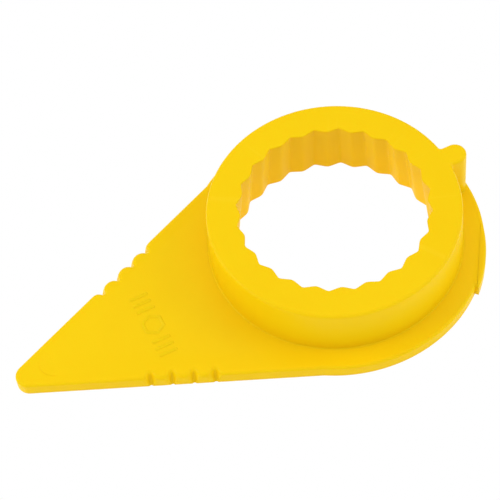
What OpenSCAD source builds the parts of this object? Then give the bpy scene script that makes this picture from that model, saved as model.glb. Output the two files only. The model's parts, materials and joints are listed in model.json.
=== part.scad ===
// Loose wheel-nut indicator: a plastic ring that grips a hexagon nut and
// carries a flat pointer, so that a nut that has turned shows at a glance.
// Origin: the socket axis on the underside. +X runs to the pointer's tip, +Z up.
// The real object is one moulding; its regions are drawn as solids that meet face to face.

/* [Nut socket] */
// Nut size across the flats
nut_across_flats = 19; // [17:0.5:19.5]
// Play between the nut's flats and the socket
nut_clearance = 0.1; // [0.1:0.05:0.5]
// Diameter at the top to which the bottoms of the 24 grooves are blunted
groove_d = 21.9; // [21.6:0.1:22.2]
// Diameter at the top to which the 24 ridges between the grooves are rounded
ridge_d = 20.7; // [20.6:0.1:21.2]
// How much wider the tapered socket is at the underside, where the nut enters
entry_growth = 1.9; // [0.4:0.1:2.4]

/* [Collar] */
// Outer diameter of the collar at the top
collar_d = 28.7; // [27:0.1:31]
// Height of the collar above the underside
collar_h = 8.1; // [6:0.1:12]
// How much further out the collar's wall stands at its foot than at the top
wall_draft = 0.15; // [0.05:0.05:0.3]
// Radius of the collar's top outer edge
rim_round = 0.3; // [0.2:0.1:0.8]
// Radius of the fillet at the collar's foot
foot_fillet = 0.2; // [0.1:0.1:0.6]

/* [Plate] */
// Thickness of the flange and the pointer
plate_t = 1.7; // [1.2:0.1:2.5]
// Diameter of the flange around the collar
flange_d = 34; // [33.4:0.2:36]
// How far the low lip on the flange's rim stands proud at its step
lip_rise = 0.45; // [0.2:0.05:0.8]
// Bearing of the lip's step from the pointer
lip_step_bearing = 130; // [110:5:140]

/* [Pointer] */
// Reach of the pointer's tip from the socket axis
pointer_reach = 39.6; // [34:0.1:50]
// Radius of the rounded tip
tip_r = 1.5; // [0.8:0.1:2.5]
// Distance of the pointer's straight edge on the -Y side from the socket axis
edge_offset = 16.6; // [15:0.1:16.6]
// How much further from the axis the edge on the +Y side runs
edge_extra = 0.25; // [0:0.05:0.3]

/* [Finger grip] */
// Creases in each edge of the pointer
creases = 4; // [2:1:5]
// Distance between two creases
crease_pitch = 2.4; // [1.8:0.1:2.6]
// Depth of a crease below the straight edge, at the top face
crease_depth = 0.9; // [0.4:0.1:1]
// Lean of the creases, which makes them shallower towards the underside
crease_lean = 25; // [0:1:25]
// How far the lobes between the creases stay below the straight edge
lobe_drop = 0.15; // [0:0.05:0.25]
// Distance of the first crease from the edge's nearest point to the axis
first_crease = 14.5; // [13:0.1:18]
// How far the creases of one edge are set ahead of those of the other
crease_stagger = 0.6; // [0:0.1:1]

/* [Tail tab] */
// Width of the tab across the tail of the collar
tab_w = 2.6; // [2:0.2:4]
// How far the tab stands beside the pointer's axis, towards -Y
tab_shift = 0.2; // [0:0.1:0.4]
// How far the tab's end stands back from the flange's rim
tab_back = 0.2; // [0:0.1:0.5]

/* [Raised mark] */
// Distance of the mark from the socket axis
mark_x = 23.2; // [20:0.1:25]
// How far the mark's middle lies beside the pointer's axis, towards +Y
mark_shift = 0.6; // [0:0.1:1]
// Height of the mark above the plate
mark_rise = 0.1; // [0.1:0.05:0.4]
// Width of the hexagon across its corners
mark_hexagon = 2.8; // [2:0.2:4]

/* [Hidden] */
$fn = 96;
eps = 0.01;
plastic = [0.98, 0.83, 0.07];

collar_r = collar_d / 2;
flange_r = flange_d / 2;
tip_x = pointer_reach - tip_r;
// The two straight edges, -Y side first: distance from the axis, and slope against the X axis
edge_r = [edge_offset, edge_offset + edge_extra];
edge_slope = [for (r = edge_r) asin((r - tip_r) / tip_x)];

// Lean of the collar's wall, and its radius where it meets the plate
wall_lean = atan(wall_draft / (collar_h - plate_t));
foot_r = collar_r + wall_draft;
// A circle tangent to the leaning wall lies this share of its radius from it, measured level
lean_share = (1 - sin(wall_lean)) / cos(wall_lean);

// One socket hexagon, across its corners, and how many are laid over each other
hexagon_d = (nut_across_flats + nut_clearance) / cos(30);
hexagons = 4;

// The tip's arc runs from one straight edge to the other in this many steps
tip_steps = 24;

// Depth of the grip's cut square to its own lean
cut_depth = crease_depth * cos(crease_lean);

// The lobes are circles that cross at the bottom of each crease
lobe_rise = cut_depth - lobe_drop;
lobe_r = (pow(crease_pitch / 2, 2) + pow(lobe_rise, 2)) / (2 * lobe_rise);
shoulder_run = sqrt(pow(lobe_r, 2) - pow(lobe_r - cut_depth, 2));
grip_length = crease_pitch * (creases - 1);

// The lip is a circle of the flange's size, moved aside until it stands proud at the step
lip_span = 28;
lip_shift = lip_rise / cos(90 - lip_span);
lip_shift_bearing = lip_step_bearing + lip_span - 90;

mark_line_w = 0.4;
mark_gap = 0.75;
mark_bar_w = 2.2;
mark_bars = 3;
mark_bar_pitch = 0.95;

// Plug of the socket that narrows from the underside to its given size at the top
module socket_plug(top_d, sides) {
    cylinder(d1 = top_d + entry_growth, d2 = top_d, h = collar_h + 2 * eps, $fn = sides);
}

// Hexagons laid over each other, so that a nut fits in steps of 15 degrees
module socket_space() {
    translate([0, 0, -eps])
        intersection() {
            union() {
                for (i = [0 : hexagons - 1])
                    rotate(i * 60 / hexagons)
                        socket_plug(hexagon_d, 6);
                socket_plug(ridge_d, $fn);
            }
            socket_plug(groove_d, $fn);
        }
}

// Half section of the collar: leaning wall, rounded top edge and a fillet on the plate
module collar_profile() {
    rim = [collar_r - rim_round * lean_share, collar_h - rim_round];
    fillet = [foot_r + foot_fillet * lean_share, plate_t + foot_fillet];
    out = [cos(wall_lean), sin(wall_lean)];
    polygon([
        [0, 0], [foot_r, 0], [foot_r, plate_t],
        rim + rim_round * out, rim, [rim.x, collar_h], [0, collar_h]
    ]);
    translate(rim)
        circle(r = rim_round);
    difference() {
        polygon([[foot_r, plate_t], [fillet.x, plate_t], fillet, fillet - foot_fillet * out]);
        translate(fillet)
            circle(r = foot_fillet);
    }
}

module nut_collar() {
    color(plastic)
        difference() {
            rotate_extrude()
                collar_profile();
            socket_space();
        }
}

// Low lip on the rim that grows away from the tail and ends in a step
module rim_lip() {
    intersection() {
        rotate(lip_shift_bearing)
            translate([lip_shift, 0])
                circle(r = flange_r);
        rotate(lip_step_bearing)
            square([flange_d, flange_d * sin(lip_span)]);
        rotate(lip_step_bearing + lip_span - 90)
            square([flange_d, flange_d]);
    }
}

module base_flange() {
    color(plastic)
        linear_extrude(plate_t)
            difference() {
                union() {
                    circle(r = flange_r);
                    rim_lip();
                }
                circle(r = foot_r);
            }
}

// Creases and lobes cut into the edge that lies along X, from the first crease on
module grip_cut() {
    difference() {
        translate([-shoulder_run, -cut_depth])
            square([grip_length + 2 * shoulder_run, 3 * cut_depth]);
        for (i = [0 : creases - 2])
            translate([(i + 0.5) * crease_pitch, -lobe_drop - lobe_r])
                circle(r = lobe_r);
        for (x = [-shoulder_run, grip_length + shoulder_run])
            translate([x, -lobe_r])
                circle(r = lobe_r);
    }
}

// The cut leans outwards about the edge of the top face, so the creases run out below
module leaning_grip_cut() {
    translate([0, 0, plate_t])
        rotate([crease_lean, 0, 0])
            translate([0, 0, -2 * plate_t])
                linear_extrude(3 * plate_t)
                    grip_cut();
}

// Straight-edged wedge that ends in the rounded tip
module pointer_outline() {
    root = [for (i = [0, 1]) edge_r[i] * [sin(edge_slope[i]), (2 * i - 1) * cos(edge_slope[i])]];
    tip_start = edge_slope[0] - 90;
    tip_turn = 180 - edge_slope[0] - edge_slope[1];
    polygon([
        root[0],
        for (i = [0 : tip_steps])
            let (a = tip_start + tip_turn * i / tip_steps)
                [tip_x + tip_r * cos(a), tip_r * sin(a)],
        root[1]
    ]);
}

module pointer_blade() {
    color(plastic)
        difference() {
            linear_extrude(plate_t)
                difference() {
                    pointer_outline();
                    circle(r = flange_r);
                }
            for (i = [0, 1])
                mirror([0, 1 - i])
                    rotate(-edge_slope[i])
                        translate([first_crease + (0.5 - i) * crease_stagger, edge_r[i]])
                            leaning_grip_cut();
        }
}

// Full-height tab with a half-round end that stands on the flange behind the collar
module tail_tab() {
    color(plastic)
        difference() {
            translate([0, 0, plate_t])
                linear_extrude(collar_h - plate_t)
                    union() {
                        translate([tab_back - flange_r + tab_w / 2, -tab_shift - tab_w / 2])
                            square([tab_w, tab_w]);
                        translate([tab_back - flange_r + tab_w / 2, -tab_shift])
                            circle(d = tab_w);
                    }
            rotate_extrude()
                collar_profile();
        }
}

// Plain nut symbol between two groups of bars, in place of any lettering
module size_mark() {
    color(plastic)
        translate([mark_x, mark_shift, plate_t])
            linear_extrude(mark_rise)
                union() {
                    difference() {
                        circle(d = mark_hexagon, $fn = 6);
                        circle(d = mark_hexagon - 2 * mark_line_w, $fn = 6);
                    }
                    for (side = [-1, 1], i = [0 : mark_bars - 1])
                        translate([
                            -mark_bar_w / 2,
                            side * (mark_hexagon / 2 + mark_gap + i * mark_bar_pitch) - mark_line_w / 2
                        ])
                            square([mark_bar_w, mark_line_w]);
                }
}

nut_collar();
base_flange();
pointer_blade();
tail_tab();
size_mark();
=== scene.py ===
# %% [markdown]
# # A loose wheel-nut indicator in yellow plastic
#
# The real object is one injection moulding about as long as a thumb. A collar with 24 grooves
# inside grips a hexagon nut. A thin flange at its foot runs out into a flat pointer, whose edges
# have creases for the fingers, and a small tab stands at the tail.
#
# The lesson models it in three pieces: the flat plate (flange and pointer), the collar with its
# tab, and the faint raised mark on the pointer. Each is a closed mesh made with operators, the
# way it would be made by hand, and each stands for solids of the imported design.

# %% Load the frame
import json
import math

import bmesh
import bpy
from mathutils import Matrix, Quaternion, Vector

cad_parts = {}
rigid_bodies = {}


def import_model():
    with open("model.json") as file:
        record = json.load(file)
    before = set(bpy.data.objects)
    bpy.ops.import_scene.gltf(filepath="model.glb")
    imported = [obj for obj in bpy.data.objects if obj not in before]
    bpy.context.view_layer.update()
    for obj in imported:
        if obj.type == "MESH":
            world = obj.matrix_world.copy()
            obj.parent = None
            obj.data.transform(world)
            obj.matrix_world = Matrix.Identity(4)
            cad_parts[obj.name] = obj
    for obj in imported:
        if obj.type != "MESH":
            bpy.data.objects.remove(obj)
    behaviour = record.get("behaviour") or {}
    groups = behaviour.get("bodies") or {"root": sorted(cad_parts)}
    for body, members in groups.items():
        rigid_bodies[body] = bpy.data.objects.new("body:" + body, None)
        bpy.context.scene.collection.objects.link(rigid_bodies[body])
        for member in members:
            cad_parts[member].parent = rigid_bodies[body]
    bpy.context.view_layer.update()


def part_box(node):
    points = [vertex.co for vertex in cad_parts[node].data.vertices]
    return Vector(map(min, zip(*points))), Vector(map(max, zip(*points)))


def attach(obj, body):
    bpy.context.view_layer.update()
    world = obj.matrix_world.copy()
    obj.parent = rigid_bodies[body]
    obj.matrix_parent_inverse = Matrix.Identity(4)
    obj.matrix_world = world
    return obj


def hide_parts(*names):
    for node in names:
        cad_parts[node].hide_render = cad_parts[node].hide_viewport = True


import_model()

# %% [markdown]
# ## Sizes
#
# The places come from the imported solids, so the looks sit where the design says. What a box
# can't tell, such as the socket's grooves and the creases, is repeated here in millimetres.

# %% Sizes from the frame, in metres
mm = 0.001

collar_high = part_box("nut_collar")[1]
flange_low, flange_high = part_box("base_flange")
blade_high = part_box("pointer_blade")[1]
tab_low, tab_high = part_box("tail_tab")
mark_low, mark_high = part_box("size_mark")

collar_h = collar_high.z
plate_t = flange_high.z
wall_draft = 0.15 * mm
foot_fillet = 0.2 * mm
wall_lean = math.atan(wall_draft / (collar_h - plate_t))
# The collar's box reaches to the fillet's outer end, so the wall's foot lies a little inside it
foot_r = collar_high.x - foot_fillet * (1 - math.sin(wall_lean)) / math.cos(wall_lean)
collar_r = foot_r - wall_draft
flange_r = -flange_low.x
tip_reach = blade_high.x
tab_half_w = (tab_high.y - tab_low.y) / 2
tab_y = (tab_high.y + tab_low.y) / 2
print("collar radius and height, m:", collar_r, collar_h)
print("flange radius and reach of the tip, m:", flange_r, tip_reach)

# %% Sizes of the socket, the creases and the tip
groove_count = 24
socket_flats = 19.1 * mm
entry_growth = 0.95 * mm

tip_r = 1.5 * mm
edge_offset = 16.6 * mm
edge_extra = 0.25 * mm
crease_count = 4
crease_pitch = 2.4 * mm
crease_depth = 0.9 * mm
crease_lean = math.radians(25)
lobe_drop = 0.15 * mm
first_crease = 14.5 * mm
crease_stagger = 0.6 * mm

lip_rise = 0.45 * mm
lip_step_bearing = math.radians(130)
lip_span = math.radians(28)
print("socket, mm across the flats:", socket_flats / mm, "creases in each edge:", crease_count)

# %% [markdown]
# ## Working by hand, from a script
#
# An operator acts on whatever is selected. So each step first selects its vertices, edges or
# faces by their place, as a hand would click them, and then calls the operator. These helpers
# are all that the lesson needs for that.

# %% Select by place
def deselect_all():
    for o in bpy.context.scene.objects:
        o.select_set(False)


def edit_bmesh():
    return bmesh.from_edit_mesh(bpy.context.edit_object.data)


def pick(kind, test):
    """In edit mode, select the verts, edges or faces whose place passes the test."""
    bpy.ops.mesh.select_mode(type={"verts": "VERT", "edges": "EDGE", "faces": "FACE"}[kind])
    bpy.ops.mesh.select_all(action="DESELECT")
    bm = edit_bmesh()
    chosen = [element for element in getattr(bm, kind) if test(element)]
    for element in chosen:
        element.select_set(True)
    bm.select_flush_mode()
    bmesh.update_edit_mesh(bpy.context.edit_object.data)
    return len(chosen)


def near(a, b, tolerance=2e-6):
    return abs(a - b) < tolerance


def radius_of(vert):
    return math.hypot(vert.co.x, vert.co.y)


def level(edge, z):
    """True for an edge that lies at the height z."""
    return all(near(v.co.z, z) for v in edge.verts)


# %% Open a piece, close it and say what it is
def start_piece(name):
    """The newly added primitive becomes the piece, and opens in edit mode."""
    piece = bpy.context.object
    piece.name = name
    piece.data.name = name
    bpy.ops.object.transform_apply(location=True, rotation=True, scale=True)
    bpy.ops.object.mode_set(mode="EDIT")
    return piece


def close_piece(piece):
    """Leave edit mode with doubles merged and faces outwards, and say what the piece is."""
    bpy.ops.mesh.select_all(action="SELECT")
    bpy.ops.mesh.remove_doubles(threshold=1e-7)
    bpy.ops.mesh.normals_make_consistent(inside=False)
    bpy.ops.object.mode_set(mode="OBJECT")
    report_piece(piece)


def report_piece(piece):
    bm = bmesh.new()
    bm.from_mesh(piece.data)
    open_edges = sum(1 for e in bm.edges if not e.is_manifold)
    print(piece.name, "faces:", len(bm.faces), "open edges:", open_edges,
          "volume mm3:", round(bm.calc_volume(signed=True) * 1e9, 1))
    bm.free()


# %% [markdown]
# ## The plate: one line drawn round the flange and the pointer
#
# The plate is flat, so it is an outline with thickness. A pen draws the outline: one vertex is
# extruded along each straight stretch and spun about a centre along each arc. A curve object
# could do this too, but spinning gives true arcs with as many steps as each needs.

# %% A pen that extrudes and spins one vertex
def pen_down(name, point):
    """Start an outline from a single vertex at a point."""
    deselect_all()
    bpy.ops.mesh.primitive_plane_add(size=mm, location=(point.x, point.y, 0))
    piece = start_piece(name)
    bpy.ops.mesh.merge(type="CENTER")
    return piece


def pen_lift_to(point):
    """Start another stretch of the outline elsewhere."""
    bpy.ops.mesh.select_all(action="DESELECT")
    bpy.ops.mesh.primitive_plane_add(size=mm, location=(point.x, point.y, 0))
    bpy.ops.mesh.merge(type="CENTER")


def pen_place():
    return next(v.co.copy() for v in edit_bmesh().verts if v.select)


def line_to(point):
    step = point - pen_place()
    bpy.ops.mesh.extrude_region_move(TRANSFORM_OT_translate={"value": (step.x, step.y, 0)})


def arc_about(centre, angle, steps):
    """Spin the pen about a centre; a positive angle turns anticlockwise from above."""
    bpy.ops.mesh.spin(
        steps=steps, angle=angle, center=(centre.x, centre.y, 0), axis=(0, 0, -1)
    )


# %% Where the outline's straight edges and creases run
tip_x = tip_reach - tip_r
edge_r = {-1: edge_offset, 1: edge_offset + edge_extra}
edge_slope = {side: math.asin((edge_r[side] - tip_r) / tip_x) for side in (-1, 1)}
crease_r = 0.26 * mm
shoulder_steps = 10
crease_steps = 8
lobe_steps = 16
tip_steps = 16
lobe_rise = crease_depth - lobe_drop
rise_to_centre = lobe_rise - crease_r
lobe_r = (rise_to_centre**2 + (crease_pitch / 2) ** 2 - crease_r**2) / (2 * lobe_rise)
shoulder_drop = lobe_r - crease_depth + crease_r
shoulder_run = math.sqrt((lobe_r + crease_r) ** 2 - shoulder_drop**2)
print("edge slopes, rad:", edge_slope, "lobe radius, mm:", lobe_r / mm)


def edge_axes(side):
    """Directions along one straight edge towards the tip, and outwards from it."""
    sine, cosine = math.sin(edge_slope[side]), math.cos(edge_slope[side])
    return Vector((cosine, -side * sine, 0)), Vector((sine, side * cosine, 0))


def on_edge(side, along, outward):
    """A point by its distance along one straight edge of the pointer and outwards from it."""
    forward, out = edge_axes(side)
    return forward * along + out * (edge_r[side] + outward)


def edge_start(side):
    return math.sqrt(flange_r**2 - edge_r[side] ** 2)


def edge_end(side):
    return tip_x * math.cos(edge_slope[side])


def crease_start(side):
    return first_crease - side * crease_stagger / 2


# %% [markdown]
# Each edge has four creases, rounded at the bottom. Between them stand three low lobes, arcs of
# one circle, and the first and last crease run out into the straight edge on the same arc. The
# creases of the two edges are not quite opposite each other.

# %% Draw one creased edge, from the flange to the very tip
def draw_edge(side):
    shoulder_turn = math.atan2(shoulder_run, shoulder_drop)
    lobe_turn = math.asin(crease_pitch / 2 / (lobe_r + crease_r))
    start = crease_start(side)
    last = start + (crease_count - 1) * crease_pitch
    line_to(on_edge(side, start - shoulder_run, 0))
    first_centre = on_edge(side, start - shoulder_run, -lobe_r)
    arc_about(first_centre, -side * shoulder_turn, shoulder_steps)
    for crease in range(crease_count):
        along = start + crease * crease_pitch
        outer_crease = crease in (0, crease_count - 1)
        turn = lobe_turn + (shoulder_turn if outer_crease else lobe_turn)
        arc_about(on_edge(side, along, crease_r - crease_depth), side * turn, crease_steps)
        if crease < crease_count - 1:
            middle = on_edge(side, along + crease_pitch / 2, -lobe_drop - lobe_r)
            arc_about(middle, -side * 2 * lobe_turn, lobe_steps)
    last_centre = on_edge(side, last + shoulder_run, -lobe_r)
    arc_about(last_centre, -side * shoulder_turn, shoulder_steps)
    line_to(on_edge(side, edge_end(side), 0))
    arc_about(Vector((tip_x, 0, 0)), -side * (math.pi / 2 - edge_slope[side]), tip_steps)


# %% Draw the flange's rim with the low lip that ends in a step
def at_bearing(radius, bearing):
    return Vector((radius * math.cos(bearing), radius * math.sin(bearing), 0))


root = on_edge(1, edge_start(1), 0)
root_bearing = math.atan2(root.y, root.x)
far_root = on_edge(-1, edge_start(-1), 0)
far_root_bearing = math.atan2(far_root.y, far_root.x) % math.tau
lip_end_bearing = lip_step_bearing + lip_span
lip_centre = at_bearing(lip_rise / math.sin(lip_span), lip_end_bearing - math.pi / 2)
lip_end = at_bearing(flange_r, lip_end_bearing)
step_top = at_bearing(flange_r + lip_rise, lip_step_bearing)
lip_turn = (lip_end - lip_centre).angle(step_top - lip_centre)
socket_axis = Vector((0, 0, 0))
near_rim_steps = 90
lip_steps = 40
far_rim_steps = 170

plate = pen_down("moulded_plate", root)
arc_about(socket_axis, lip_step_bearing - root_bearing, near_rim_steps)
line_to(step_top)
arc_about(lip_centre, lip_turn, lip_steps)
line_to(lip_end)
arc_about(socket_axis, far_root_bearing - lip_end_bearing, far_rim_steps)
draw_edge(-1)
pen_lift_to(root)
draw_edge(1)
bpy.ops.mesh.select_all(action="SELECT")
bpy.ops.mesh.remove_doubles(threshold=0.005 * mm)
print("outline vertices:", len(edit_bmesh().verts), "edges:", len(edit_bmesh().edges))

# %% [markdown]
# The outline is filled with one face and extruded to the plate's thickness.

# %% Give the outline thickness, level by level
top_edge_round = 0.3 * mm
lower_levels = 5
room_for_round = 1.25 * top_edge_round
below_round = plate_t - room_for_round
heights = [below_round * n / lower_levels for n in range(lower_levels + 1)] + [plate_t]
bpy.ops.mesh.edge_face_add()
for low_z, high_z in zip(heights, heights[1:]):
    bpy.ops.mesh.extrude_region_move(TRANSFORM_OT_translate={"value": (0, 0, high_z - low_z)})
print("plate levels:", len(heights), "vertices:", len(edit_bmesh().verts))

# %% [markdown]
# The creases lean: they are cut deep into the top face and run out towards the underside. So
# each lower level of the creased stretch is moved outwards, and what then stands beyond the
# straight edge is pressed flat onto it.

# %% Pick the creased stretch of one edge at one level
grip_margin = 0.02 * mm
grip_reach = 1.2 * crease_depth


def in_grip(side, height):
    """A test for the vertices of one creased stretch at one level."""
    forward, out = edge_axes(side)
    grip_run = (crease_count - 1) * crease_pitch
    low = crease_start(side) - shoulder_run - grip_margin
    high = crease_start(side) + grip_run + shoulder_run + grip_margin

    def test(v):
        return (
            near(v.co.z, height)
            and low < v.co.dot(forward) < high
            and v.co.dot(out) - edge_r[side] > -grip_reach
        )

    return test


# %% Lean the creases
for side in (-1, 1):
    forward, out = edge_axes(side)
    across = (forward, out, Vector((0, 0, 1)))
    for height in heights[:-1]:
        test = in_grip(side, height)
        pick("verts", test)
        bpy.ops.transform.translate(value=out * math.tan(crease_lean) * (plate_t - height))
        count = pick("verts", lambda v: test(v) and v.co.dot(out) > edge_r[side])
        bpy.ops.transform.resize(
            value=(1, 0, 1),
            orient_type="GLOBAL",
            orient_matrix=across,
            orient_matrix_type="GLOBAL",
            center_override=on_edge(side, 0, 0) + Vector((0, 0, height)),
        )
        print("side:", side, "level, mm:", round(height / mm, 2), "pressed flat:", count)
close_piece(plate)

# %% [markdown]
# A mould rounds every edge a little, and that thin bright line is what makes plastic look
# moulded. The outline's upper and lower edges are bevelled.

# %% Round the plate's edges
under_edge_round = 0.06 * mm
corner_angle = 0.5
bpy.context.view_layer.objects.active = plate
bpy.ops.object.mode_set(mode="EDIT")
for height, offset in ((plate_t, top_edge_round), (0.0, under_edge_round)):
    count = pick(
        "edges",
        lambda e: level(e, height)
        and len(e.link_faces) == 2
        and e.calc_face_angle(0) > corner_angle,
    )
    bpy.ops.mesh.bevel(
        offset=offset, segments=4, profile=0.5, affect="EDGES", clamp_overlap=False
    )
    print("rim edges rounded at", height, ":", count)
close_piece(plate)

# %% [markdown]
# The hole for the collar is cut with a boolean, because it is hidden under the collar and only
# has to be round.

# %% Cut the collar's hole
def apply_modifiers(piece):
    deselect_all()
    piece.select_set(True)
    bpy.context.view_layer.objects.active = piece
    for modifier in list(piece.modifiers):
        bpy.ops.object.modifier_apply(modifier=modifier.name)


def combine(piece, other, operation):
    """Cut another object out of the piece, or join it on, and remove that object."""
    boolean = piece.modifiers.new(operation.lower(), "BOOLEAN")
    boolean.operation = operation
    boolean.solver = "EXACT"
    boolean.object = other
    apply_modifiers(piece)
    bpy.data.objects.remove(other)


deselect_all()
bpy.ops.mesh.primitive_cylinder_add(
    vertices=192, radius=foot_r, depth=4 * plate_t, location=(0, 0, 0)
)
combine(plate, bpy.context.object, "DIFFERENCE")
report_piece(plate)

# %% [markdown]
# Near the tip the ejector pin left a faint round witness: its disc stands a few hundredths of a
# millimetre proud on the side of the tip. A cylinder, tilted by a degree or so, is joined on.

# %% Join the ejector pin's witness on near the tip
witness_r = 1.55 * mm
witness_x = tip_reach - 4.5 * mm
witness_tilt = math.radians(2.2)
deselect_all()
bpy.ops.mesh.primitive_cylinder_add(
    vertices=64,
    radius=witness_r,
    depth=plate_t / 2,
    location=(witness_x, 0, plate_t * 0.75),
    rotation=(0, -witness_tilt, 0),
)
combine(plate, bpy.context.object, "UNION")
report_piece(plate)

# %% [markdown]
# ## Shading
#
# The rounded edges are shaded smooth, or every small face would show. The large level faces are
# to stay flat, so the edges round them are marked sharp, and a Weighted Normal modifier lets the
# large faces decide how the light falls along what is left.

# %% Shade the plate smooth, with its level faces flat
def is_level(face):
    """True for a face that lies level, up or down."""
    return abs(face.normal.z) > 0.9999


def smooth_piece(piece, angle=40):
    """Smooth shading over the rounded edges, with the flat faces kept flat."""
    deselect_all()
    piece.select_set(True)
    bpy.context.view_layer.objects.active = piece
    bpy.ops.object.shade_smooth_by_angle(angle=math.radians(angle))
    bpy.ops.object.mode_set(mode="EDIT")
    count = pick("edges", lambda e: sum(is_level(f) for f in e.link_faces) == 1)
    bpy.ops.mesh.mark_sharp()
    bpy.ops.object.mode_set(mode="OBJECT")
    print(piece.name, "edges kept sharp round its level faces:", count)
    weighted = piece.modifiers.new("flat faces stay flat", "WEIGHTED_NORMAL")
    weighted.keep_sharp = True
    weighted.weight = 80
    apply_modifiers(piece)


smooth_piece(plate)

# %% [markdown]
# ## The collar: two rings of vertices, pulled up and joined
#
# Inside, the socket is four hexagons laid over each other 15 degrees apart, so a nut fits in
# 24 positions. It is wider at the underside, where the nut enters. Outside, the wall is
# straight, with a fillet at its foot, and it swells into the tab at the tail.
#
# Both walls start as a circle of the same number of vertices, so they bridge cleanly. The
# bridge tool looks from one ring's middle to the other's to see which way round to go, so the
# socket waits a little lower than its place until it is bridged.

# %% The socket's outline at the top
steps_per_groove = 32
ring_verts = groove_count * steps_per_groove
groove_angle = math.tau / groove_count
half_groove = math.degrees(groove_angle) / 2


def soft_abs(x, softness):
    return math.sqrt(x * x + softness * softness)


groove_softness = 0.8
ridge_softness = 1.5


def groove_radius(angle):
    """Radius of the socket at the top: a hexagon's corner in each groove, softly rounded."""
    from_groove = (math.degrees(angle) + half_groove) % (2 * half_groove) - half_groove
    from_ridge = half_groove - soft_abs(from_groove, groove_softness)
    turned = half_groove - soft_abs(from_ridge, ridge_softness)
    return socket_flats / 2 / math.cos(math.radians(30 - turned))


# %% The socket wall
def scale_ring(factor):
    """Scale the selected vertices about the socket's axis."""
    bpy.ops.transform.resize(value=(factor, factor, 1), center_override=(0, 0, 0))


def in_step(angle):
    """A test for the vertices that stand at one angle within their groove."""
    shift = 1e-4

    def test(v):
        turned = math.atan2(v.co.y, v.co.x) - angle + shift
        return near(turned % groove_angle, shift, 1e-5)

    return test


wait_below = 1.0 * mm
mouth_band = 0.4 * mm
deselect_all()
bpy.ops.mesh.primitive_circle_add(
    vertices=ring_verts, radius=collar_r, location=(0, 0, -wait_below)
)
collar = start_piece("socket_collar")
for step in range(steps_per_groove):
    angle = step * math.tau / ring_verts
    wanted = groove_radius(angle) + entry_growth
    pick("verts", in_step(angle))
    scale_ring(wanted / collar_r)
pick("edges", lambda e: True)
mouth_r = groove_radius(0) + entry_growth
now_z = 0.0
now_r = mouth_r
for height in (mouth_band, collar_h - mouth_band, collar_h):
    next_r = mouth_r - entry_growth * height / collar_h
    bpy.ops.mesh.extrude_region_move(TRANSFORM_OT_translate={"value": (0, 0, height - now_z)})
    scale_ring(next_r / now_r)
    now_z = height
    now_r = next_r
print("socket wall vertices:", len(edit_bmesh().verts))
print("grooves, mm across:", round(2 * groove_radius(0) / mm, 2))
print("ridges, mm across:", round(2 * groove_radius(groove_angle / 2) / mm, 2))

# %% [markdown]
# The outer wall is a second circle, extruded level by level. Below the plate's surface it is
# the collar's own foot, hidden in the plate. A skirt then comes out of the plate and curves up
# into the wall: that is the fillet. Its lip lies a hair under the surface, so no seam shows.
# The wall leans in a little towards the top, which is the draft that lets it leave the mould.

# %% The outer wall, level by level
def wall_to(height, radius):
    """Extrude the selected ring to the next level and radius."""
    now = next(v.co.copy() for v in edit_bmesh().verts if v.select)
    bpy.ops.mesh.extrude_region_move(TRANSFORM_OT_translate={"value": (0, 0, height - now.z)})
    scale_ring(radius / math.hypot(now.x, now.y))


skirt_sink = 0.012 * mm
skirt_bottom = plate_t - 0.3 * mm
fillet_steps = 8
rim_band = 0.6 * mm
bpy.ops.mesh.select_all(action="DESELECT")
bpy.ops.mesh.primitive_circle_add(vertices=ring_verts, radius=foot_r, location=(0, 0, 0))
wall_to(skirt_bottom, foot_r)
wall_to(skirt_bottom, foot_r + foot_fillet)
for step in range(fillet_steps + 1):
    turn = math.pi / 2 * step / fillet_steps
    wall_to(
        plate_t - skirt_sink + foot_fillet * (1 - math.cos(turn)),
        foot_r + foot_fillet * (1 - math.sin(turn)),
    )
wall_to(collar_h - rim_band, collar_r + wall_draft * rim_band / (collar_h - plate_t))
wall_to(collar_h, collar_r)
print("collar vertices:", len(edit_bmesh().verts))

# %% Join the two walls at the underside and at the top
for height in (0.0, collar_h):
    pick(
        "edges",
        lambda e: len(e.link_faces) == 1
        and (level(e, height) or level(e, height - wait_below)),
    )
    bpy.ops.mesh.bridge_edge_loops()
pick("verts", lambda v: radius_of(v) < collar_r - mm)
bpy.ops.transform.translate(value=(0, 0, wait_below))
print("collar before its tab:", len(edit_bmesh().faces), "faces")

# %% [markdown]
# The tab is no separate block: its top runs flush into the collar's top. So the wall's own
# columns of vertices at the tail are pulled out to the tab's outline: a small fillet, the
# straight side, and the half-round end that stands just inside the flange's rim.

# %% Where each column of the tab goes
tab_end_x = tab_low.x + tab_half_w
corner_r = 0.35 * mm
end_columns = 8
corner_columns = 8
last_column = end_columns + corner_columns
column_step = math.tau / ring_verts

corner_y = {side: tab_y + side * (tab_half_w + corner_r) for side in (-1, 1)}
corner_x = {
    side: -math.sqrt((collar_r + corner_r) ** 2 - corner_y[side] ** 2) for side in (-1, 1)
}
corner_turn = {side: math.atan2(-corner_x[side], side * corner_y[side]) for side in (-1, 1)}


def tab_outline(column):
    """Place and outward normal of a column on the tab's outline, counted from its end."""
    side = 1 if column > 0 else -1
    n = abs(column)
    if n <= end_columns:
        turn = math.pi / 2 * n / end_columns
        normal = Vector((-math.cos(turn), side * math.sin(turn), 0))
        return Vector((tab_end_x, tab_y, 0)) + normal * tab_half_w, normal
    turn = corner_turn[side] * (n - end_columns - 1) / (corner_columns - 1)
    normal = Vector((-math.sin(turn), side * math.cos(turn), 0))
    return Vector((corner_x[side], corner_y[side], 0)) - normal * corner_r, normal


def column_of(vert):
    """Number of a wall vertex's column, counted from the tail."""
    bearing = math.atan2(vert.co.y, vert.co.x) % math.tau
    return round((math.pi - bearing) / column_step)


print("corner fillet centres, m:", corner_x, corner_y)

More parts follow.
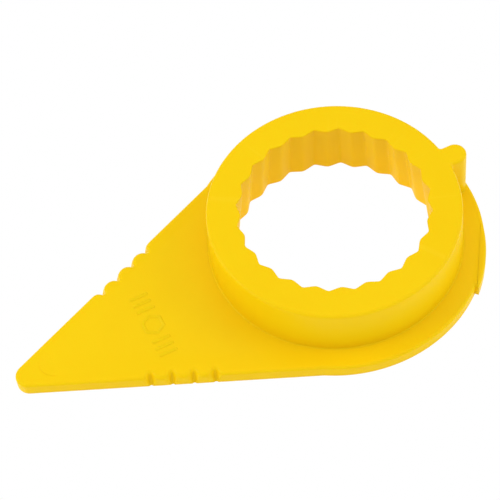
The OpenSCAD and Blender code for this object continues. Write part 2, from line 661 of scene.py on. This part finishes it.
# %% Pull the tab out of the collar's wall
# The foot fillet keeps inside the tab's corners, and widens to its full size beside them
tight_fillet = 0.85 * corner_r
blend_columns = 14
moves = {}
for vert in edit_bmesh().verts:
    outside = radius_of(vert) > collar_r - 1e-6 and vert.co.z > skirt_bottom + 1e-6
    column = column_of(vert)
    if not outside or abs(column) >= last_column + blend_columns:
        continue
    flare = radius_of(vert) - collar_r
    tight = min(flare, tight_fillet)
    if abs(column) <= last_column:
        place, normal = tab_outline(column)
        if abs(column) <= end_columns:
            tight *= abs(normal.y)
    else:
        normal = Vector((vert.co.x, vert.co.y, 0)).normalized()
        place = normal * collar_r
        tight += (flare - tight) * (abs(column) - last_column) / blend_columns
    target = place + normal * tight
    moves[vert.index] = (target.x - vert.co.x, target.y - vert.co.y, 0)
for index, move in moves.items():
    pick("verts", lambda v: v.index == index)
    bpy.ops.transform.translate(value=move)
print("tab columns:", 2 * last_column + 1, "vertices moved:", len(moves))

# %% [markdown]
# The collar's rim is rounded most. The socket's two mouths have only their sharpness taken off.
# The bevels keep each vertex in its own column, because loop slide would let them run far along
# the almost straight lines where the tab begins.

# %% Round the collar's edges
rim_round = 0.35 * mm
mouth_round = 0.1 * mm
bpy.ops.mesh.select_all(action="SELECT")
bpy.ops.mesh.normals_make_consistent(inside=False)


def on_loop(height, outside):
    def test(e):
        return (
            level(e, height)
            and e.calc_face_angle(0) > corner_angle
            and (min(radius_of(v) for v in e.verts) > collar_r - mm) == outside
        )

    return test


for height, outside, offset, segments in (
    (collar_h, True, rim_round, 5),
    (collar_h, False, mouth_round, 3),
    (0.0, False, mouth_round, 3),
):
    count = pick("edges", on_loop(height, outside))
    bpy.ops.mesh.bevel(
        offset=offset,
        segments=segments,
        profile=0.5,
        affect="EDGES",
        clamp_overlap=False,
        loop_slide=False,
    )
    print("collar edges rounded:", count, "at", height, "outside" if outside else "inside")
close_piece(collar)
smooth_piece(collar)

# %% [markdown]
# ## The raised mark
#
# Such pointers carry a faint mark across the blade. Here it is a plain nut symbol, a hexagon
# ring, between two groups of short bars. The hexagon is inset and its middle removed. The lines
# are modelled tall enough to be rounded well, and then pressed down to a worn, faint relief.

# %% Model the nut symbol and the bars
mark_x = (mark_low.x + mark_high.x) / 2
mark_y = (mark_low.y + mark_high.y) / 2
mark_h = 0.15 * mm
hexagon_r = 1.4 * mm
line_w = 0.4 * mm
bar_w = 2.2 * mm
bar_pitch = 0.95 * mm
bar_gap = 0.75 * mm
bars_a_side = 3
mark_sink = 0.1 * mm
mark_round = 0.12 * mm
worn_down_to = 0.3

deselect_all()
bpy.ops.mesh.primitive_circle_add(
    vertices=6,
    radius=hexagon_r,
    fill_type="NGON",
    location=(mark_x, mark_y, plate_t - mark_sink),
)
mark = start_piece("raised_mark")
pick("faces", lambda f: True)
bpy.ops.mesh.inset(thickness=line_w * math.cos(math.radians(30)))
bpy.ops.mesh.delete(type="FACE")
pick("faces", lambda f: True)
bpy.ops.mesh.extrude_region_move(TRANSFORM_OT_translate={"value": (0, 0, mark_h + mark_sink)})
for side in (-1, 1):
    for bar in range(bars_a_side):
        y = mark_y + side * (hexagon_r + bar_gap + bar * bar_pitch)
        bar_middle = (mark_x, y, plate_t + (mark_h - mark_sink) / 2)
        bpy.ops.mesh.select_all(action="DESELECT")
        bpy.ops.mesh.primitive_cube_add(size=1, location=bar_middle)
        bpy.ops.transform.resize(
            value=(bar_w, line_w, mark_h + mark_sink), center_override=bar_middle
        )
pick("edges", lambda e: e.calc_face_angle(0) > corner_angle)
bpy.ops.mesh.bevel(offset=mark_round, segments=4, profile=0.5, affect="EDGES")
pick("verts", lambda v: True)
bpy.ops.transform.resize(
    value=(1, 1, worn_down_to), center_override=(mark_x, mark_y, plate_t)
)
close_piece(mark)
smooth_piece(mark)

# %% [markdown]
# ## The plastic
#
# The finish is one bright yellow all through: a satin moulded skin with very fine texture,
# slight colour variation where the melt flowed, faint handling scuffs, and convex edges painted
# paler, partly as rubbed wear and partly as a painted highlight where the rounding catches
# light. These effects are node groups, built once, so that each region of the moulding uses them
# with its own values.
# region of the moulding uses them with its own values.

# %% Helpers for node groups
def new_group(name, inputs, outputs):
    group = bpy.data.node_groups.new(name, "ShaderNodeTree")
    for label, kind, value in inputs:
        socket = group.interface.new_socket(name=label, in_out="INPUT", socket_type=kind)
        if value is not None:
            socket.default_value = value
    for label, kind in outputs:
        group.interface.new_socket(name=label, in_out="OUTPUT", socket_type=kind)
    return group, group.nodes.new("NodeGroupInput"), group.nodes.new("NodeGroupOutput")


def add_node(tree, kind, **values):
    node = tree.nodes.new(kind)
    for key, value in values.items():
        if hasattr(node, key):
            setattr(node, key, value)
        else:
            node.inputs[key.replace("_", " ")].default_value = value
    return node


# %% The moulded skin: fine grain and slow waviness, as a height
waves_over_grain = 2.5


def make_moulded_skin():
    group, source, sink = new_group(
        "moulded_skin",
        [("Position", "NodeSocketVector", None), ("Grain", "NodeSocketFloat", 1.0)],
        [("Height", "NodeSocketFloat")],
    )
    grain = add_node(group, "ShaderNodeTexNoise", Scale=3200.0, Detail=3.0)
    waves = add_node(group, "ShaderNodeTexNoise", Scale=160.0, Detail=1.0)
    grain_scaled = add_node(group, "ShaderNodeMath", operation="MULTIPLY")
    total = add_node(group, "ShaderNodeMath", operation="MULTIPLY_ADD")
    total.inputs[1].default_value = waves_over_grain
    group.links.new(source.outputs["Position"], grain.inputs["Vector"])
    group.links.new(source.outputs["Position"], waves.inputs["Vector"])
    group.links.new(grain.outputs["Fac"], grain_scaled.inputs[0])
    group.links.new(source.outputs["Grain"], grain_scaled.inputs[1])
    group.links.new(waves.outputs["Fac"], total.inputs[0])
    group.links.new(grain_scaled.outputs["Value"], total.inputs[2])
    group.links.new(total.outputs["Value"], sink.inputs["Height"])
    return group


# %% The flow of the melt: slow colour variation from a deeper to a paler yellow
def make_melt_flow():
    group, source, sink = new_group(
        "melt_flow",
        [
            ("Position", "NodeSocketVector", None),
            ("Deep", "NodeSocketColor", (1, 1, 1, 1)),
            ("Pale", "NodeSocketColor", (1, 1, 1, 1)),
        ],
        [("Color", "NodeSocketColor")],
    )
    flow = add_node(group, "ShaderNodeTexNoise", Scale=90.0, Detail=4.0, Distortion=0.6)
    mix = add_node(group, "ShaderNodeMix", data_type="RGBA")
    group.links.new(source.outputs["Position"], flow.inputs["Vector"])
    group.links.new(flow.outputs["Fac"], mix.inputs["Factor"])
    group.links.new(source.outputs["Deep"], mix.inputs[6])
    group.links.new(source.outputs["Pale"], mix.inputs[7])
    group.links.new(mix.outputs[2], sink.inputs["Color"])
    return group


# %% Scuffs: thin short scratches that only the gloss shows, as a mask
def make_scuffs():
    group, source, sink = new_group(
        "handling_scuffs",
        [("Position", "NodeSocketVector", None), ("Amount", "NodeSocketFloat", 0.5)],
        [("Mask", "NodeSocketFloat")],
    )
    stretch = add_node(group, "ShaderNodeMapping")
    stretch.inputs["Rotation"].default_value = (0, 0, 0.6)
    stretch.inputs["Scale"].default_value = (1, 9, 3)
    noise = add_node(group, "ShaderNodeTexNoise", Scale=420.0, Detail=5.0, Roughness=0.7)
    ramp = add_node(group, "ShaderNodeMapRange")
    ramp.inputs["From Min"].default_value = 0.58
    ramp.inputs["From Max"].default_value = 0.72
    amount = add_node(group, "ShaderNodeMath", operation="MULTIPLY")
    group.links.new(source.outputs["Position"], stretch.inputs["Vector"])
    group.links.new(stretch.outputs["Vector"], noise.inputs["Vector"])
    group.links.new(noise.outputs["Fac"], ramp.inputs["Value"])
    group.links.new(ramp.outputs["Result"], amount.inputs[0])
    group.links.new(source.outputs["Amount"], amount.inputs[1])
    group.links.new(amount.outputs["Value"], sink.inputs["Mask"])
    return group


# %% Rubbed edges with a painted highlight: a mask that is strong where the surface is sharply convex, which paints those edges paler
def make_rubbed_and_highlight_edges():
    group, source, sink = new_group(
        "rubbed_and_highlight_edges",
        [("Amount", "NodeSocketFloat", 0.5)],
        [("Mask", "NodeSocketFloat")],
    )
    geometry = add_node(group, "ShaderNodeNewGeometry")
    ramp = add_node(group, "ShaderNodeMapRange")
    ramp.inputs["From Min"].default_value = 0.52
    ramp.inputs["From Max"].default_value = 0.62
    amount = add_node(group, "ShaderNodeMath", operation="MULTIPLY")
    group.links.new(geometry.outputs["Pointiness"], ramp.inputs["Value"])
    group.links.new(ramp.outputs["Result"], amount.inputs[0])
    group.links.new(source.outputs["Amount"], amount.inputs[1])
    group.links.new(amount.outputs["Value"], sink.inputs["Mask"])
    return group


# %% Specks: a few tiny burnt grains in the melt, as a mask
def make_specks():
    group, source, sink = new_group(
        "burnt_specks",
        [("Position", "NodeSocketVector", None)],
        [("Mask", "NodeSocketFloat")],
    )
    cells = add_node(group, "ShaderNodeTexVoronoi", Scale=150.0)
    dot = add_node(group, "ShaderNodeMapRange")
    dot.inputs["From Min"].default_value = 0.035
    dot.inputs["From Max"].default_value = 0.02
    split = add_node(group, "ShaderNodeSeparateColor")
    rare = add_node(group, "ShaderNodeMath", operation="GREATER_THAN")
    rare.inputs[1].default_value = 0.9
    both = add_node(group, "ShaderNodeMath", operation="MULTIPLY")
    group.links.new(source.outputs["Position"], cells.inputs["Vector"])
    group.links.new(cells.outputs["Distance"], dot.inputs["Value"])
    group.links.new(cells.outputs["Color"], split.inputs["Color"])
    group.links.new(split.outputs["Red"], rare.inputs[0])
    group.links.new(dot.outputs["Result"], both.inputs[0])
    group.links.new(rare.outputs["Value"], both.inputs[1])
    group.links.new(both.outputs["Value"], sink.inputs["Mask"])
    return group


moulded_skin = make_moulded_skin()
melt_flow = make_melt_flow()
handling_scuffs = make_scuffs()
rubbed_and_highlight_edges = make_rubbed_and_highlight_edges()
burnt_specks = make_specks()
print("node groups:", [g.name for g in bpy.data.node_groups])

# %% The yellow plastic, put together from the groups
deep_yellow = (0.890, 0.575, 0.002, 1)
pale_yellow = (0.920, 0.630, 0.004, 1)
# The paler yellow of convex edges: partly rubbed wear, partly a painted highlight where the
# rounding catches light
rubbed_and_highlight_yellow = (0.955, 0.660, 0.020, 1)
burnt_brown = (0.220, 0.110, 0.010, 1)
satin_roughness = 0.36
scuffed_roughness = 0.52
grain_depth = 0.05 * mm
light_sinks_in = 0.8 * mm


def group_node(tree, group, **values):
    node = tree.nodes.new("ShaderNodeGroup")
    node.node_tree = group
    for label, value in values.items():
        node.inputs[label].default_value = value
    return node


def blend_colour(tree, mask, below, above):
    """Mix a fixed colour over a linked one by a mask, and return the mix's output."""
    mix = tree.nodes.new("ShaderNodeMix")
    mix.data_type = "RGBA"
    tree.links.new(mask, mix.inputs["Factor"])
    tree.links.new(below, mix.inputs[6])
    mix.inputs[7].default_value = above
    return mix.outputs[2]


def make_plastic(name, grain, scuffs, rub_and_highlight):
    material = bpy.data.materials.new(name)
    material.use_nodes = True
    tree = material.node_tree
    shader = tree.nodes["Principled BSDF"]
    place = tree.nodes.new("ShaderNodeTexCoord")
    skin = group_node(tree, moulded_skin, Grain=grain)
    flow = group_node(tree, melt_flow, Deep=deep_yellow, Pale=pale_yellow)
    scuff = group_node(tree, handling_scuffs, Amount=scuffs)
    edges = group_node(tree, rubbed_and_highlight_edges, Amount=rub_and_highlight)
    specks = group_node(tree, burnt_specks)
    for node in (skin, flow, scuff, specks):
        tree.links.new(place.outputs["Object"], node.inputs["Position"])
    # Convex edges are painted paler by the edge mask, partly as rubbed wear and partly as a
    # painted highlight
    colour = blend_colour(tree, edges.outputs["Mask"], flow.outputs["Color"], rubbed_and_highlight_yellow)
    colour = blend_colour(tree, specks.outputs["Mask"], colour, burnt_brown)
    tree.links.new(colour, shader.inputs["Base Color"])
    gloss = tree.nodes.new("ShaderNodeMapRange")
    gloss.inputs["To Min"].default_value = satin_roughness
    gloss.inputs["To Max"].default_value = scuffed_roughness
    tree.links.new(scuff.outputs["Mask"], gloss.inputs["Value"])
    tree.links.new(gloss.outputs["Result"], shader.inputs["Roughness"])
    bump = tree.nodes.new("ShaderNodeBump")
    bump.inputs["Strength"].default_value = 0.12
    bump.inputs["Distance"].default_value = grain_depth
    tree.links.new(skin.outputs["Height"], bump.inputs["Height"])
    tree.links.new(bump.outputs["Normal"], shader.inputs["Normal"])
    shader.inputs["Subsurface Weight"].default_value = 0.12
    shader.inputs["Subsurface Radius"].default_value = (1.0, 0.55, 0.08)
    shader.inputs["Subsurface Scale"].default_value = light_sinks_in
    shader.inputs["IOR"].default_value = 1.35
    shader.inputs["Specular IOR Level"].default_value = 0.1
    return material


def finish_piece(piece, material, *nodes):
    piece.data.materials.clear()
    piece.data.materials.append(material)
    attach(piece, "root")
    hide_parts(*nodes)


# %% Give each piece its own plastic, its body, its place in the design and its slot
plate_plastic = make_plastic("plate_plastic", grain=1.0, scuffs=0.8, rub_and_highlight=0.2)
collar_plastic = make_plastic("collar_plastic", grain=0.8, scuffs=0.5, rub_and_highlight=0.2)
mark_plastic = make_plastic("mark_plastic", grain=0.6, scuffs=0.4, rub_and_highlight=0.4)
finish_piece(plate, plate_plastic, "base_flange", "pointer_blade")
finish_piece(collar, collar_plastic, "nut_collar", "tail_tab")
finish_piece(mark, mark_plastic, "size_mark")
print("materials:", plate_plastic.name, collar_plastic.name, mark_plastic.name)

# %% [markdown]
# ## Floor, light and camera
#
# The indicator lies on a plain white floor under a large soft overhead light, with two smaller
# ones to the left and right and a bright, even surround, so shadows stay faint and the yellow
# stays clean. The floor looks pure white to the camera, while it lights the indicator only as
# strongly as real white paper would.

# %% Floor
floor_size = 3
floor_below = 0.02 * mm
deselect_all()
bpy.ops.mesh.primitive_plane_add(size=floor_size, location=(0, 0, -floor_below))
floor = bpy.context.object
floor.name = "floor"
floor_paint = bpy.data.materials.new("floor_paint")
floor_paint.use_nodes = True
floor_tree = floor_paint.node_tree
floor_shader = floor_tree.nodes["Principled BSDF"]
floor_surface = floor_tree.nodes["Material Output"].inputs["Surface"]
floor_shader.inputs["Base Color"].default_value = (0.93, 0.93, 0.93, 1)
floor_shader.inputs["Roughness"].default_value = 0.9
floor_shader.inputs["Emission Color"].default_value = (1, 1, 1, 1)
floor_shader.inputs["Emission Strength"].default_value = 0.28
floor_glow = floor_tree.nodes.new("ShaderNodeEmission")
floor_path = floor_tree.nodes.new("ShaderNodeLightPath")
floor_mix = floor_tree.nodes.new("ShaderNodeMixShader")
floor_tree.links.new(floor_path.outputs["Is Camera Ray"], floor_mix.inputs["Fac"])
floor_tree.links.new(floor_shader.outputs["BSDF"], floor_mix.inputs[1])
floor_tree.links.new(floor_glow.outputs["Emission"], floor_mix.inputs[2])
floor_tree.links.new(floor_mix.outputs["Shader"], floor_surface)
floor.data.materials.append(floor_paint)
print("floor, m across:", floor_size)

# %% Lights
world = bpy.data.worlds.new("studio")
bpy.context.scene.world = world
world.use_nodes = True
surround = world.node_tree.nodes["Background"]
surround.inputs["Color"].default_value = (1, 1, 1, 1)
surround.inputs["Strength"].default_value = 0.53
view_settings = bpy.context.scene.view_settings
view_settings.view_transform = "Standard"
view_settings.look = "None"


def soft_light(name, place, aim, size, power):
    data = bpy.data.lights.new(name, "AREA")
    data.size = size
    data.energy = power
    light = bpy.data.objects.new(name, data)
    bpy.context.scene.collection.objects.link(light)
    light.location = place
    light.rotation_euler = (Vector(aim) - Vector(place)).to_track_quat("-Z", "Y").to_euler()
    print(name, "light at, m:", place)


middle = ((blade_high.x + flange_low.x) / 2, 0, 0)
soft_light("overhead", (0, 0, 0.50), middle, 0.8, 1.04)
soft_light("from_left", (0.385, -0.140, 0.287), middle, 0.3, 0.80)
soft_light("from_right", (-0.385, 0.140, 0.287), middle, 0.3, 0.64)

# %% [markdown]
# The camera looks down at the indicator at a steep angle from beside the pointer, with a long
# lens, and is turned a little about its own axis.

# %% Camera
camera_bearing = math.radians(159.96)
camera_height_angle = math.radians(56.63)
camera_roll = math.radians(-6.77)
camera_distance = 218.5 * mm
aim = Vector((8.92 * mm, -4.29 * mm, 0))

back = Vector((
    math.sin(camera_bearing) * math.cos(camera_height_angle),
    -math.cos(camera_bearing) * math.cos(camera_height_angle),
    math.sin(camera_height_angle),
))
camera_data = bpy.data.cameras.new("camera")
camera = bpy.data.objects.new("camera", camera_data)
bpy.context.scene.collection.objects.link(camera)
bpy.context.scene.camera = camera
camera_data.sensor_width = 36
camera_data.lens = 136.3
camera_data.clip_start = 0.01
camera_data.clip_end = 10
camera.location = aim + back * camera_distance
level_view = (-back).to_track_quat("-Z", "Y")
camera.rotation_mode = "QUATERNION"
camera.rotation_quaternion = level_view @ Quaternion((0, 0, 1), camera_roll)
print("camera at", tuple(round(c / mm, 1) for c in camera.location), "mm")
